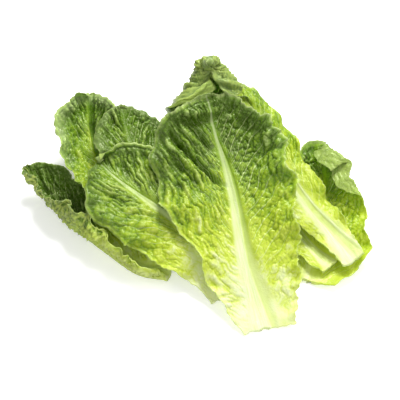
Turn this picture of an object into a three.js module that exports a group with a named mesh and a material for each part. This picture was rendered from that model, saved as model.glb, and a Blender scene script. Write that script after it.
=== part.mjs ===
// The leaves of a romaine lettuce head, snapped off and heaped as they fall.
// Millimetres, +Z up. Each leaf is one closed solid: a blade with a waved margin, a thick midrib
// that tapers along its underside and a shallow channel that runs along its upper face.
// The leaves are listed from the bottom of the heap to the top. Each one has the shape it grew in,
// is let down onto those below it, and gives way where they hold it up.
import * as THREE from 'three';

// ---- Driving dimensions ----
const BLADE_THICKNESS = 1.2;
const RIB_DEPTH = 7; // how far the midrib stands out below the blade at the cut base
const RIB_HALF_WIDTH = 14; // of the midrib at the cut base
const RIB_TAPER = 0.82; // share of that width lost by the tip
const RIB_EDGE = 0.8; // half width left at the very tip
const RIB_THINNING = 1.2; // power by which its depth fades towards the tip
const CHANNEL_DEPTH = 1.4; // of the hollow along the upper face of the midrib
const CHANNEL_SHARE = 0.6; // of the midrib's half width, taken by that hollow
const RIB_FLAT = 0.85; // share of the rib's depth left where a leaf's own weight presses it flat
const TIP_START = 0.8; // share of the length where the rounded tip begins
const FRILL_LENGTH = 64; // from one wave of the margin to the next
const FRILL_POWER = 2.5; // keeps the waves near the margin
const FRILL_SIDE = 1.7; // radians by which the waves of the two margins differ
const FRILL_START = { rate: 3, at: 0.02 }; // how soon the waves reach their height past the base
const SECOND_WAVE = { height: 0.5, rate: 1.73, phase: 2.1 }; // a smaller, quicker one on the first
const SCALLOP = 0.035; // share of the half width by which the outline goes in and out
const SCALLOP_LENGTH = 52;
const CURL_POWER = 1.5; // bends a blade more towards its margin than beside its rib
const CLEARANCE = 0.7; // kept between two leaves

// ---- Mesh ----
const BODY_ROWS = 18;
const TIP_ROWS = 6;
const SIDE_COLUMNS = 6; // on each side of the midrib
const COLUMN_POWER = 1.25; // sets the columns closer beside the midrib
const CURL_STEPS = 6; // from one column to the next
const ROWS = BODY_ROWS + TIP_ROWS + 1;
const COLUMNS = 2 * SIDE_COLUMNS + 1;
const MIDDLE = SIDE_COLUMNS;

// ---- The heap's height map, in plan ----
const CELL = 4;
const MAP_CORNER = [-280, -260];
const MAP_CELLS = [140, 130];
const NOTHING_BELOW = -50;
const MAP_SAMPLES = 8; // along each side of a mesh patch, when a leaf is entered in the map
const REST_SAMPLES = 5; // the same, when a leaf is laid on the map
const SMOOTH_PASSES = 56;
const FIRM_PASSES = 14; // with no smoothing, so that the last contact is cleared
const SMOOTHING = 0.55;
const STEEPEST = 0.55; // least share of a blade's normal that counts as upright

// ---- The leaves, bottom to top ----
// spine: points along the midrib from the cut base to the tip.
// left, right: half widths of the blade at even steps along it, seen with the tip pointing away.
// rise: degrees by which a side leaves the rib; curl: degrees more by the time it ends.
// settle: how far the leaf sinks as it rests on those below.
const GREEN = { colour: 0x5f9a2c, roughness: 0.5 };
const PALE = { colour: 0xc6de6c, roughness: 0.45 };
const LEAVES = [
  {
    name: 'leaf_far_left', finish: GREEN, settle: 3, phase: 1.0, frill: 4,
    spine: [
      [-37, -112, 8], [-71, -105, 6], [-104, -80, 5], [-138, -51, 4], [-169, -20, 7],
      [-193, 6, 19], [-214, 25, 34],
    ],
    left: {
      width: [10, 32, 46, 50, 36, 20], rise: [40, 65, 65, 65, 50, 30],
      curl: [30, 45, 50, 50, 50, 40],
    },
    right: {
      width: [10, 34, 52, 58, 44, 26], rise: [15, 15, 20, 20, 20, 10],
      curl: [20, 40, 50, 50, 50, 30],
    },
  },
  {
    name: 'leaf_back_left', finish: GREEN, settle: 26, phase: 2.3, frill: 4,
    spine: [[-71, -58, 16], [-100, -17, 20], [-120, 29, 26], [-134, 77, 36], [-138, 118, 56]],
    left: { width: [14, 30, 40, 45, 44, 34], rise: [10, 10], curl: [20, 30, 40] },
    right: { width: [14, 30, 40, 42, 42, 36], rise: [10, 10], curl: [20, 30, 40] },
  },
  {
    name: 'leaf_back_hooded', finish: GREEN, settle: 3, phase: 0.4, frill: 3,
    spine: [
      [42, -95, 8], [34, -14, 6], [26, 54, 10], [19, 98, 30], [15, 128, 58], [13, 142, 88],
      [12, 140, 108], [10, 126, 116],
    ],
    left: {
      width: [14, 20, 28, 36, 40, 42, 46, 58, 74, 56, 42], rise: [8, 8, 8, 20, 20, 0, 0],
      curl: [20, 20, 25, 20, 10, 10, 0, -20, 140, 220, 230],
    },
    right: {
      width: [14, 20, 28, 36, 42, 48, 58, 86, 80, 46, 36], rise: [8, 8, 8, 0, 0, 0, 0],
      curl: [20, 20, 25, 30, 30, 40, 90, 130, 190, 230, 230],
    },
  },
  {
    name: 'leaf_right_cupped', finish: GREEN, settle: 3, phase: 0.2, frill: 4,
    spine: [[126, -119, 8], [138, -75, 6], [148, -22, 8], [154, 28, 18], [152, 57, 40]],
    left: { width: [10, 42, 54, 54, 50, 42], rise: [5, 5], curl: [25, 40, 50] },
    right: { width: [33, 62, 62, 50, 40, 30], rise: [5, 10, 20], curl: [10, 40, 110] },
  },
  {
    name: 'leaf_back_inner', finish: GREEN, settle: 12, phase: 0.6, frill: 4,
    spine: [[-16, -88, 24], [-38, -41, 28], [-65, 8, 34], [-86, 55, 45], [-96, 97, 60]],
    left: { width: [12, 30, 42, 45, 41, 32], rise: [0, 0], curl: [10, 10, 0] },
    right: { width: [12, 30, 42, 50, 46, 34], rise: [0, 0], curl: [10, -10, -20] },
  },
  {
    name: 'leaf_right_short', finish: PALE, settle: 12, phase: 5.2, frill: 4,
    spine: [[154, -104, 12], [135, -82, 14], [113, -49, 20], [91, -9, 34], [75, 36, 50]],
    left: { width: [14, 22, 36, 42, 38, 28], rise: [8, 8], curl: [10, 25, 35] },
    right: { width: [12, 20, 30, 36, 34, 26], rise: [8, 8], curl: [10, 25, 35] },
  },
  {
    name: 'leaf_right_long', finish: PALE, settle: 20, phase: 1.7, frill: 4,
    spine: [
      [180, -101, 21], [157, -66, 26], [134, -34, 37], [115, -1, 48], [96, 35, 58], [75, 73, 66],
      [54, 104, 68],
    ],
    left: { width: [14, 22, 40, 46, 40, 30], rise: [5, 5], curl: [-10, 0, 10] },
    right: { width: [14, 22, 24, 24, 24, 18], rise: [10, 0, 0], curl: [10, -10, -20] },
  },
  {
    name: 'leaf_front_left', finish: GREEN, settle: 12, phase: 2.9, frill: 4,
    spine: [
      [23, -146, 10], [5, -109, 20], [-18, -77, 32], [-44, -51, 44], [-74, -28, 54],
      [-101, -6, 60], [-122, 13, 64],
    ],
    left: { width: [8, 18, 30, 42, 50, 55, 58, 58, 56, 50, 44], rise: [8, 8], curl: [-10, -20, 0] },
    right: { width: [30, 50, 60, 64, 56, 44], rise: [5, 5], curl: [0, 10, 40] },
  },
  {
    name: 'leaf_front', finish: GREEN, settle: 12, phase: 0.0, frill: 3,
    spine: [
      [71, -184, 10], [63, -152, 20], [55, -117, 36], [48, -79, 52], [39, -32, 66], [28, 13, 80],
      [19, 49, 98], [14, 76, 120],
    ],
    left: {
      width: [22, 34, 46, 54, 62, 80, 87, 86, 85, 84, 82], rise: [10, 12, 15, 15, 15],
      curl: [10, 0, -20, -30, 0],
    },
    right: { width: [41, 60, 69, 76, 71, 54], rise: [12, 12], curl: [10, 25, 50] },
  },
];

// ---- The shape a leaf grew in ----

// A smooth run through values given at even steps, read at t from 0 to 1.
function along(values, t) {
  const points = values.map((value) => new THREE.Vector3(value, 0, 0));
  return new THREE.CatmullRomCurve3(points, false, 'catmullrom').getPoint(t).x;
}

// Where a row of the mesh lies along the leaf, and what share of the blade's width it has there:
// all of it up to the tip, which is a quarter of an ellipse on each side.
function station(row) {
  if (row <= BODY_ROWS) return { t: (row / BODY_ROWS) * TIP_START, share: 1 };
  const turn = ((row - BODY_ROWS) / TIP_ROWS) * (Math.PI / 2);
  return { t: TIP_START + (1 - TIP_START) * Math.sin(turn), share: Math.cos(turn) };
}

// The share of the half width at which a column lies, counted from the midrib.
function columnShare(column) {
  return (Math.abs(column - MIDDLE) / SIDE_COLUMNS) ** COLUMN_POWER;
}

// One grid of points down the middle of the blade's thickness, before the margin is waved.
// Each point is { at, t, across, along }: its place, its share of the length, and its distances
// from the midrib and from the base.
function smoothBlade(leaf) {
  const spinePoints = leaf.spine.map((point) => new THREE.Vector3(...point));
  const spine = new THREE.CatmullRomCurve3(spinePoints, false, 'catmullrom');
  const length = spine.getLength();
  const side = new THREE.Vector3().crossVectors(spine.getTangentAt(0), new THREE.Vector3(0, 0, 1));
  const grid = [];
  for (let row = 0; row < ROWS; row += 1) {
    const { t, share } = station(row);
    const tangent = spine.getTangentAt(t);
    side.addScaledVector(tangent, -side.dot(tangent)).normalize();
    const up = new THREE.Vector3().crossVectors(side, tangent);
    const centre = spine.getPointAt(t);
    const points = [];
    points[MIDDLE] = { at: centre, t, across: 0, along: t * length };
    for (const [sign, half] of [[-1, leaf.left], [1, leaf.right]]) {
      const scallop = 1 + SCALLOP * Math.sin((2 * Math.PI * t * length) / SCALLOP_LENGTH + sign);
      const width = along(half.width, t) * share * scallop;
      const rise = THREE.MathUtils.degToRad(along(half.rise, t));
      const curl = THREE.MathUtils.degToRad(along(half.curl, t));
      const at = centre.clone();
      for (let step = 1; step <= SIDE_COLUMNS; step += 1) {
        const from = columnShare(MIDDLE + step - 1);
        const part = (columnShare(MIDDLE + step) - from) / CURL_STEPS;
        for (let k = 0; k < CURL_STEPS; k += 1) {
          const angle = rise + curl * (from + part * (k + 0.5)) ** CURL_POWER;
          at.addScaledVector(side, sign * Math.cos(angle) * part * width);
          at.addScaledVector(up, Math.sin(angle) * part * width);
        }
        const across = columnShare(MIDDLE + step) * width;
        points[MIDDLE + sign * step] = { at: at.clone(), t, across, along: t * length };
      }
    }
    grid.push(points);
  }
  return grid;
}

// The unit normals of a grid's upper face. The tip is one point, so its row shares a mean normal.
function normalsOf(grid) {
  const normals = grid.map((points, row) => points.map((point, column) => {
    const before = grid[Math.max(row - 1, 0)][column].at;
    const after = grid[Math.min(row + 1, ROWS - 1)][column].at;
    const left = points[Math.max(column - 1, 0)].at;
    const right = points[Math.min(column + 1, COLUMNS - 1)].at;
    const lengthwise = new THREE.Vector3().subVectors(after, before);
    return new THREE.Vector3().subVectors(right, left).cross(lengthwise).normalize();
  }));
  const mean = normals[ROWS - 2].reduce((sum, normal) => sum.add(normal), new THREE.Vector3());
  normals[ROWS - 1] = normals[ROWS - 1].map(() => mean.clone().normalize());
  return normals;
}

// Waves the margin up and down, more strongly the nearer it lies to the edge.
function waveMargin(leaf, grid) {
  const normals = normalsOf(grid);
  grid.forEach((points, row) => points.forEach((point, column) => {
    const sign = Math.sign(column - MIDDLE);
    const turn = (2 * Math.PI * point.along) / FRILL_LENGTH;
    const second = SECOND_WAVE.rate * turn + SECOND_WAVE.phase * leaf.phase + sign;
    const wave = Math.sin(turn + leaf.phase + FRILL_SIDE * sign)
      + SECOND_WAVE.height * Math.sin(second);
    const start = Math.min(1, FRILL_START.rate * (point.t + FRILL_START.at));
    const reach = columnShare(column) ** FRILL_POWER * start;
    point.at = point.at.clone().addScaledVector(normals[row][column], leaf.frill * reach * wave);
  }));
}

// How much thicker than the blade the leaf is at a point, below and above.
function midrib(point) {
  const halfWidth = RIB_HALF_WIDTH * (1 - RIB_TAPER * point.t) + RIB_EDGE;
  const swell = Math.exp(-((point.across / halfWidth) ** 2));
  const fade = (1 - point.t) ** RIB_THINNING;
  const hollow = Math.exp(-((point.across / (CHANNEL_SHARE * halfWidth)) ** 2));
  return { below: RIB_DEPTH * fade * swell, channel: CHANNEL_DEPTH * fade * hollow };
}

// ---- The heap ----

// The highest point so far over each cell of the plan.
const heapTop = new Float64Array(MAP_CELLS[0] * MAP_CELLS[1]).fill(NOTHING_BELOW);

function cellOf(value, axis) {
  const cell = Math.trunc((value - MAP_CORNER[axis]) / CELL);
  return THREE.MathUtils.clamp(cell, 0, MAP_CELLS[axis] - 1);
}

// The highest point of the heap in a cell and the eight round it.
function heapTopNear(x, y) {
  let highest = NOTHING_BELOW;
  for (let i = cellOf(x, 0) - 1; i <= cellOf(x, 0) + 1; i += 1) {
    for (let j = cellOf(y, 1) - 1; j <= cellOf(y, 1) + 1; j += 1) {
      highest = Math.max(highest, heapTop[i * MAP_CELLS[1] + j]);
    }
  }
  return highest;
}

// Even samples inside every patch of a grid: the numbers of its four corners, counted along the
// rows, and how much each corner weighs.
function patchSamples(count) {
  const samples = [];
  for (let row = 0; row < ROWS - 1; row += 1) {
    for (let column = 0; column < COLUMNS - 1; column += 1) {
      const corner = row * COLUMNS + column;
      const corners = [corner, corner + 1, corner + COLUMNS, corner + COLUMNS + 1];
      for (let a = 0.5 / count; a < 1; a += 1 / count) {
        for (let b = 0.5 / count; b < 1; b += 1 / count) {
          const weights = [(1 - a) * (1 - b), (1 - a) * b, a * (1 - b), a * b];
          samples.push({ corners, weights });
        }
      }
    }
  }
  return samples;
}

// The value of a sample, from the values at its patch's corners.
function valueAt(sample, values) {
  return sample.weights.reduce((sum, weight, k) => sum + weight * values[sample.corners[k]], 0);
}

// Enters a face of a leaf in the height map.
function addToHeap(face) {
  const points = face.flat();
  const [xs, ys, zs] = ['x', 'y', 'z'].map((axis) => points.map((point) => point[axis]));
  for (const sample of patchSamples(MAP_SAMPLES)) {
    const cell = cellOf(valueAt(sample, xs), 0) * MAP_CELLS[1] + cellOf(valueAt(sample, ys), 1);
    heapTop[cell] = Math.max(heapTop[cell], valueAt(sample, zs));
  }
}

// Evens out the lift of a leaf between neighbouring points, so that it bends and doesn't kink.
function smoothed(lift) {
  const at = (row, column) => lift[
    THREE.MathUtils.clamp(row, 0, ROWS - 1) * COLUMNS + THREE.MathUtils.clamp(column, 0, COLUMNS - 1)
  ];
  return lift.map((own, k) => {
    const row = Math.trunc(k / COLUMNS);
    const column = k % COLUMNS;
    const round = at(row - 1, column) + at(row + 1, column) + at(row, column - 1) + at(row, column + 1);
    return own * (1 - SMOOTHING) + (SMOOTHING * (4 * own + round)) / 8;
  });
}

// Lets a leaf down onto the heap and the surface it stands on, by its settle more than it can go,
// and then lifts it where it is in the way, until all of it is clear.
function layDown(leaf, grid) {
  const points = grid.flat();
  const upright = normalsOf(grid).flat().map((normal) => Math.max(Math.abs(normal.z), STEEPEST));
  const depth = points.map((point, k) => (BLADE_THICKNESS / 2 + midrib(point).below) / upright[k]);
  const pressed = points.map(
    (point, k) => (BLADE_THICKNESS / 2 + RIB_FLAT * midrib(point).below) / upright[k],
  );
  const [xs, ys, zs] = ['x', 'y', 'z'].map((axis) => points.map((point) => point.at[axis]));
  const samples = patchSamples(REST_SAMPLES);
  for (const sample of samples) {
    const z = valueAt(sample, zs);
    const below = heapTopNear(valueAt(sample, xs), valueAt(sample, ys));
    sample.room = Math.min(z - valueAt(sample, depth) - CLEARANCE - below, z - valueAt(sample, pressed));
    sample.stiffness = sample.weights.reduce((sum, weight) => sum + weight * weight, 0);
  }
  const drop = leaf.settle + samples.reduce((least, sample) => Math.min(least, sample.room), Infinity);

  let lift = points.map(() => 0);
  for (let pass = 0; pass < SMOOTH_PASSES + FIRM_PASSES; pass += 1) {
    if (pass < SMOOTH_PASSES) lift = smoothed(lift);
    const push = points.map(() => 0);
    for (const sample of samples) {
      const short = (drop - sample.room - valueAt(sample, lift)) / sample.stiffness;
      sample.corners.forEach((corner, k) => {
        push[corner] = Math.max(push[corner], short * sample.weights[k]);
      });
    }
    const tipPush = Math.max(...push.slice(-COLUMNS));
    lift = lift.map((value, k) => value + (k < points.length - COLUMNS ? push[k] : tipPush));
  }
  const tipLift = Math.max(...lift.slice(-COLUMNS));
  points.forEach((point, k) => {
    point.at.z += (k < points.length - COLUMNS ? lift[k] : tipLift) - drop;
  });
}

// ---- Solids ----

// One closed mesh between two faces: the same triangles on both, and a rim along the margin and
// across the cut base. Each face ends in one point at the tip.
function closedLeaf(upper, lower) {
  const faceCorners = (ROWS - 1) * COLUMNS + 1;
  const place = (face, row, column) => face * faceCorners
    + (row === ROWS - 1 ? faceCorners - 1 : row * COLUMNS + column);
  const corners = [upper, lower].flatMap((face) => [...face.slice(0, -1).flat(), face[ROWS - 1][0]]);
  const triangles = [];
  const addQuad = (a, b, c, d) => {
    triangles.push([a, b, c], [a, c, d]);
  };
  for (let row = 0; row < ROWS - 1; row += 1) {
    for (let column = 0; column < COLUMNS - 1; column += 1) {
      const ring = [[row, column], [row, column + 1], [row + 1, column + 1], [row + 1, column]];
      const [a, b, c, d] = ring.map(([i, j]) => place(0, i, j));
      addQuad(a, b, c, d);
      const [e, f, g, h] = ring.map(([i, j]) => place(1, i, j));
      triangles.push([e, g, f], [e, h, g]);
    }
    const last = COLUMNS - 1;
    addQuad(place(0, row, 0), place(0, row + 1, 0), place(1, row + 1, 0), place(1, row, 0));
    addQuad(place(1, row, last), place(1, row + 1, last), place(0, row + 1, last), place(0, row, last));
  }
  for (let column = 0; column < COLUMNS - 1; column += 1) {
    addQuad(place(1, 0, column), place(1, 0, column + 1), place(0, 0, column + 1), place(0, 0, column));
  }
  const whole = triangles.filter(([a, b, c]) => a !== b && b !== c && c !== a);
  const geometry = new THREE.BufferGeometry();
  geometry.setAttribute('position', new THREE.Float32BufferAttribute(
    corners.flatMap((corner) => corner.toArray()), 3,
  ));
  geometry.setIndex(whole.flat());
  geometry.computeVertexNormals();
  return geometry;
}

// Shapes a leaf, lays it on the heap and gives its mesh.
function leafMesh(leaf) {
  const grid = smoothBlade(leaf);
  waveMargin(leaf, grid);
  layDown(leaf, grid);
  const normals = normalsOf(grid);
  const face = (offset) => grid.map((points, row) => points.map((point, column) => (
    point.at.clone().addScaledVector(normals[row][column], offset(midrib(point)))
  )));
  const upper = face((rib) => BLADE_THICKNESS / 2 - rib.channel);
  const lower = face((rib) => -BLADE_THICKNESS / 2 - rib.below);
  lower.flat().forEach((point) => { point.z = Math.max(point.z, 0); });
  addToHeap(upper);
  addToHeap(lower);
  const mesh = new THREE.Mesh(closedLeaf(upper, lower), new THREE.MeshStandardMaterial({
    color: leaf.finish.colour, roughness: leaf.finish.roughness, metalness: 0,
  }));
  mesh.name = leaf.name;
  return mesh;
}

const heap = new THREE.Group();
for (const leaf of LEAVES) heap.add(leafMesh(leaf));

// The origin is the middle of the heap's footprint, on the surface it stands on.
const bounds = new THREE.Box3().setFromObject(heap);
const middle = bounds.getCenter(new THREE.Vector3());
heap.position.set(-middle.x, -middle.y, -bounds.min.z);

const lettuce = new THREE.Group();
lettuce.add(heap);

export default lettuce;
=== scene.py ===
import math

import bpy
import numpy as np
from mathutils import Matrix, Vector


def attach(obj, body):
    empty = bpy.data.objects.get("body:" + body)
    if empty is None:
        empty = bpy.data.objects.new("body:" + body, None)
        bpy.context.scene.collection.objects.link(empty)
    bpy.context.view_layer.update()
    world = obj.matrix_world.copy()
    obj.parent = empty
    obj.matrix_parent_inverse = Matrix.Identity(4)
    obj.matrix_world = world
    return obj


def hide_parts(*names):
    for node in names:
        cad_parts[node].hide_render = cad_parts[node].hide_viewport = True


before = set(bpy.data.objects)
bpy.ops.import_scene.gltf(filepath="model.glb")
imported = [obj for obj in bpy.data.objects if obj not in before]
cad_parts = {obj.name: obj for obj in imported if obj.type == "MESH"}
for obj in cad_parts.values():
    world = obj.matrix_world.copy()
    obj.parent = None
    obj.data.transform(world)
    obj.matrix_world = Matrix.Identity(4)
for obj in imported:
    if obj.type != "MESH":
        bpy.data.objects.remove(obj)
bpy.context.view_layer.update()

# ------------------------------
# The leaves. Each is one thin blade that grew on a thick white midrib, with side veins that
# fan out of the rib and pucker the blade into pleats and blisters, and a waved margin.
# They were snapped off the stem and dropped in a heap, where each lies on those below it.
# ------------------------------

MM = 0.001

# What a leaf has unless it says otherwise. A pair is for its left and right side, seen with the
# tip pointing away; a longer run goes from its cut base to its tip.
ORDINARY = dict(
    steps=(8, 10),  # fine rows and columns for each of the solid's
    rib=(1, 1),  # run: how white the midrib is
    rib_bend=(0, 0),  # run: mm by which it wanders off the middle
    core=0.7,  # its width, as a share of RIB_WHITE
    groove=0.4,  # width of the smooth strip to its right, painted olive as shade in its groove, as a share of RIB_STRIP
    trough=0,  # depth of a trough along the middle of a wide rib, as a share of GROOVE_DEPTH; it is painted olive as shade too
    crinkle=(0.2, 0.7, 1, 1.04, 1.04),  # run: how strongly the blade is crinkled
    combed=(0.1, 0.1),  # more of it is combed above 0, and pebbled below
    base_combed=(0.25, 0.25),  # share of the combing that starts at the base
    base_veins=(1.05, 1.05),  # steepness of the side veins there
    veins=(1.8, 1.6),  # and towards the tip
    waves=(1, 1),  # strength of the margin's finer waves and teeth
    droop=4,  # mm by which the margin bends down
    rim=(0, 0),  # how sharply a smooth rim is set off, and how much paler it is painted as light
    flap=(),  # a margin rolled in: 1 right or -1 left; start, end and width in mm; slope down
    folds=(),  # each a start and an end (across, along), a height and a width, in mm
    dull=0.6,  # how dull the underside is
    net=0.4,  # how plainly its net of small veins stands out
    margin_sheen=0.05,  # share of painted sheen, pale, along the far margin
)

# spine: points along the midrib from the cut base to the tip, in mm.
# left, right: half widths of the blade at even steps along it; the degrees by which it leaves
# the rib; and the degrees more by the time it ends.
# settle: how far the leaf sinks as it rests on those below. frill, phase: height and start of
# the margin's waves. tone: run of how green the blade is, from 0, cream, to 1, dark green.
LEAVES = [
    dict(
        name="leaf_far_left", slot="green_leaf", settle=3, phase=1.0, frill=4,
        spine=[(-37, -112, 8), (-71, -105, 6), (-104, -80, 5), (-138, -51, 4),
               (-169, -20, 7), (-193, 6, 19), (-214, 25, 34)],
        left=([10, 32, 46, 50, 36, 20], [40, 65, 65, 65, 50, 30], [30, 45, 50, 50, 50, 40]),
        right=([10, 34, 52, 58, 44, 26], [15, 15, 20, 20, 20, 10], [20, 40, 50, 50, 50, 30]),
        tone=(0.34, 0.36, 0.93, 1.1), rib=(0.2, 0), crinkle=(1.5, 1.9, 1.7, 1.4),
        combed=(-0.7, 0.1), waves=(2, 0.6), droop=1, dull=0.1, net=1,
    ),
    dict(
        name="leaf_back_left", slot="green_leaf", settle=26, phase=2.3, frill=4,
        spine=[(-71, -58, 16), (-100, -17, 20), (-120, 29, 26), (-134, 77, 36), (-138, 118, 56)],
        left=([14, 30, 40, 45, 44, 34], [10, 10], [20, 30, 40]),
        right=([14, 30, 40, 42, 42, 36], [10, 10], [20, 30, 40]),
        tone=(0.55, 0.9), rib=(0.35, 0), core=0.4, rim=(0.3, 0.2), margin_sheen=0.42,
        folds=[((3, 80), (2, 160), -7, 3.5), ((2, 130), (5, 205), -6, 3),
               ((-3, 100), (-5, 190), 4, 4)],
    ),
    dict(
        name="leaf_back_hooded", slot="green_leaf", settle=3, phase=0.4, frill=3,
        spine=[(42, -95, 8), (34, -14, 6), (26, 54, 10), (19, 98, 30), (15, 128, 58),
               (13, 142, 88), (12, 140, 108), (10, 126, 116)],
        left=([14, 20, 28, 36, 40, 42, 46, 58, 74, 56, 42], [8, 8, 8, 20, 20, 0, 0],
              [20, 20, 25, 20, 10, 10, 0, -20, 140, 220, 230]),
        right=([14, 20, 28, 36, 42, 48, 58, 86, 80, 46, 36], [8, 8, 8, 0, 0, 0, 0],
              [20, 20, 25, 30, 30, 40, 90, 130, 190, 230, 230]),
        tone=(0.65, 1.0), rib=(0.3, 0), crinkle=(0.2, 0.7, 1.15, 1.15), dull=0.7, net=0.35,
        margin_sheen=0.5, flap=(-1, 232, 304, 16, 1.5),
    ),
    dict(
        name="leaf_right_cupped", slot="green_leaf", settle=3, phase=0.2, frill=4,
        spine=[(126, -119, 8), (138, -75, 6), (148, -22, 8), (154, 28, 18), (152, 57, 40)],
        left=([10, 42, 54, 54, 50, 42], [5, 5], [25, 40, 50]),
        right=([33, 62, 62, 50, 40, 30], [5, 10, 20], [10, 40, 110]),
        tone=(0.37, 0.46, 0.84), rib=(0, 0), core=0.3, groove=0, crinkle=(0.3, 1, 1.3, 1.3),
        combed=(-0.3, -0.3), rim=(0.2, 0.2), flap=(1, 110, 212, 25, 0.35),
    ),
    dict(
        name="leaf_back_inner", slot="green_leaf", settle=12, phase=0.6, frill=4,
        spine=[(-16, -88, 24), (-38, -41, 28), (-65, 8, 34), (-86, 55, 45), (-96, 97, 60)],
        left=([12, 30, 42, 45, 41, 32], [0, 0], [10, 10, 0]),
        right=([12, 30, 42, 50, 46, 34], [0, 0], [10, -10, -20]),
        tone=(0.55, 0.95), rib=(0.3, 0.1), margin_sheen=0.22,
    ),
    dict(
        name="leaf_right_short", slot="pale_leaf", settle=12, phase=5.2, frill=4,
        spine=[(154, -104, 12), (135, -82, 14), (113, -49, 20), (91, -9, 34), (75, 36, 50)],
        left=([14, 22, 36, 42, 38, 28], [8, 8], [10, 25, 35]),
        right=([12, 20, 30, 36, 34, 26], [8, 8], [10, 25, 35]),
        tone=(0.46, 0.5), rib=(0.4, 0.6), core=0.8, groove=0, trough=0.5,
    ),
    dict(
        name="leaf_right_long", slot="pale_leaf", settle=20, phase=1.7, frill=4,
        spine=[(180, -101, 21), (157, -66, 26), (134, -34, 37), (115, -1, 48), (96, 35, 58),
               (75, 73, 66), (54, 104, 68)],
        left=([14, 22, 40, 46, 40, 30], [5, 5], [-10, 0, 10]),
        right=([14, 22, 24, 24, 24, 18], [10, 0, 0], [10, -10, -20]),
        tone=(0.34, 0.42, 0.48, 0.66), rib=(1, 0.9, 0.3, 0.1), rib_bend=(6, 1, -5, -8, -8, -6),
        core=1.5, groove=0, trough=0.85, crinkle=(0.2, 0.5, 0.7, 0.7),
    ),
    dict(
        name="leaf_front_left", slot="green_leaf", settle=12, phase=2.9, frill=4,
        spine=[(23, -146, 10), (5, -109, 20), (-18, -77, 32), (-44, -51, 44), (-74, -28, 54),
               (-101, -6, 60), (-122, 13, 64)],
        left=([8, 18, 30, 42, 50, 55, 58, 58, 56, 50, 44], [8, 8], [-10, -20, 0]),
        right=([30, 50, 60, 64, 56, 44], [5, 5], [0, 10, 40]),
        tone=(0.13, 0.61, 0.84), rib=(0.8, 0.85, 0.6, 0.3), rib_bend=(6, 10, 7, 1, -1, 0),
        core=0.8, crinkle=(0.2, 0.6, 0.85, 0.85), combed=(-0.25, 0.3), rim=(0.4, 1),
    ),
    dict(
        name="leaf_front", slot="green_leaf", settle=12, phase=0.0, frill=3, steps=(12, 14),
        spine=[(71, -184, 10), (63, -152, 20), (55, -117, 36), (48, -79, 52), (39, -32, 66),
               (28, 13, 80), (19, 49, 98), (14, 76, 120)],
        left=([22, 34, 46, 54, 62, 80, 87, 86, 85, 84, 82], [10, 12, 15, 15, 15],
              [10, 0, -20, -30, 0]),
        right=([41, 60, 69, 76, 71, 54], [12, 12], [10, 25, 50]),
        tone=(0.13, 0.96), rib=(1, 1, 0.9, 0.8, 0.7), rib_bend=(0, 0, -3, -2, -0.5, 0, -3, -5),
        core=1, groove=1,
        crinkle=(0.2, 0.6, 0.95, 1.04, 1.04), combed=(0.75, -0.35), base_combed=(1, 0.25),
        base_veins=(0.3, 0.9), veins=(1.8, 0.9), waves=(1, 2.3), droop=5, rim=(0.6, 0.2),
        folds=[((-56, 252), (-42, 226), -11, 4), ((-42, 226), (-28, 206), -12, 4),
               ((-28, 206), (-8, 181), -10, 3.5), ((-60, 240), (-40, 214), 4, 5),
               ((-40, 214), (-18, 188), 4, 5), ((-44, 262), (-10, 210), 4, 4),
               ((-50, 268), (-8, 262), -6, 5), ((-48, 279), (-5, 274), 4, 4),
               ((-62, 222), (-40, 190), -6, 3), ((-34, 262), (-10, 226), -6, 3)],
    ),
]

BODY_ROWS = 18  # coarse rows from the base to where the rounded tip begins
TIP_ROWS = 6
TIP_START = 0.8  # share of the leaf's length
SIDE_COLUMNS = 6
COLUMN_POWER = 1.25  # columns lie closer together on the rib
CURL_STEPS = 6  # finer steps across, along which the curl is summed
ROWS = BODY_ROWS + TIP_ROWS + 1
COLUMNS = 2 * SIDE_COLUMNS + 1
FRILL_LENGTH = 64  # mm from one wave of the margin to the next
FRILL_POWER = 2.5
SECOND_WAVE = (0.5, 1.73)  # height and pace of the wave that makes the first one uneven
SIDE_SHIFT = 1.7  # by which the two sides' waves are out of step
SCALLOP = 0.035  # share of the width by which the outline goes in and out
SCALLOP_LENGTH = 52
CURL_POWER = 1.5  # how late across the blade its curl comes


def through(values, t):
    """A smooth run through values given at even steps, read at t from 0 to 1."""
    values = np.asarray(values, float)
    before, after = 2 * values[0] - values[1], 2 * values[-1] - values[-2]
    padded = np.concatenate([[before], values, [after]])
    place = np.clip(np.asarray(t, float), 0, 1) * (len(values) - 1)
    span = np.minimum(place.astype(int), len(values) - 2)
    f = place - span
    if values.ndim > 1:
        f = f.reshape(f.shape + (1,) * (values.ndim - 1))
    a, b, c, d = (padded[span + k] for k in range(4))
    return 0.5 * (2 * b + (c - a) * f + (2 * a - 5 * b + 4 * c - d) * f ** 2
                  + (3 * b - a - 3 * c + d) * f ** 3)


def unit(vectors):
    return vectors / np.maximum(np.linalg.norm(vectors, axis=-1, keepdims=True), 1e-9)


def station(row):
    """Where a row lies along the leaf, and what share of the blade's width it has there."""
    turn = np.clip((row - BODY_ROWS) / TIP_ROWS, 0, 1) * math.pi / 2
    body = np.minimum(row, BODY_ROWS) / BODY_ROWS * TIP_START
    return body + (1 - TIP_START) * np.sin(turn), np.cos(turn), turn


def spine_of(leaf, t):
    """Points and directions along the midrib at even shares t of its length, and its length."""
    fine = np.linspace(0, 1, 201)
    steps = np.linalg.norm(np.diff(through(leaf["spine"], fine), axis=0), axis=1)
    run = np.concatenate([[0], np.cumsum(steps)])
    u = np.interp(t * run[-1], run, fine)
    ahead, behind = np.minimum(u + 1e-4, 1), np.maximum(u - 1e-4, 0)
    direction = unit(through(leaf["spine"], ahead) - through(leaf["spine"], behind))
    return through(leaf["spine"], u), direction, run[-1]


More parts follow.
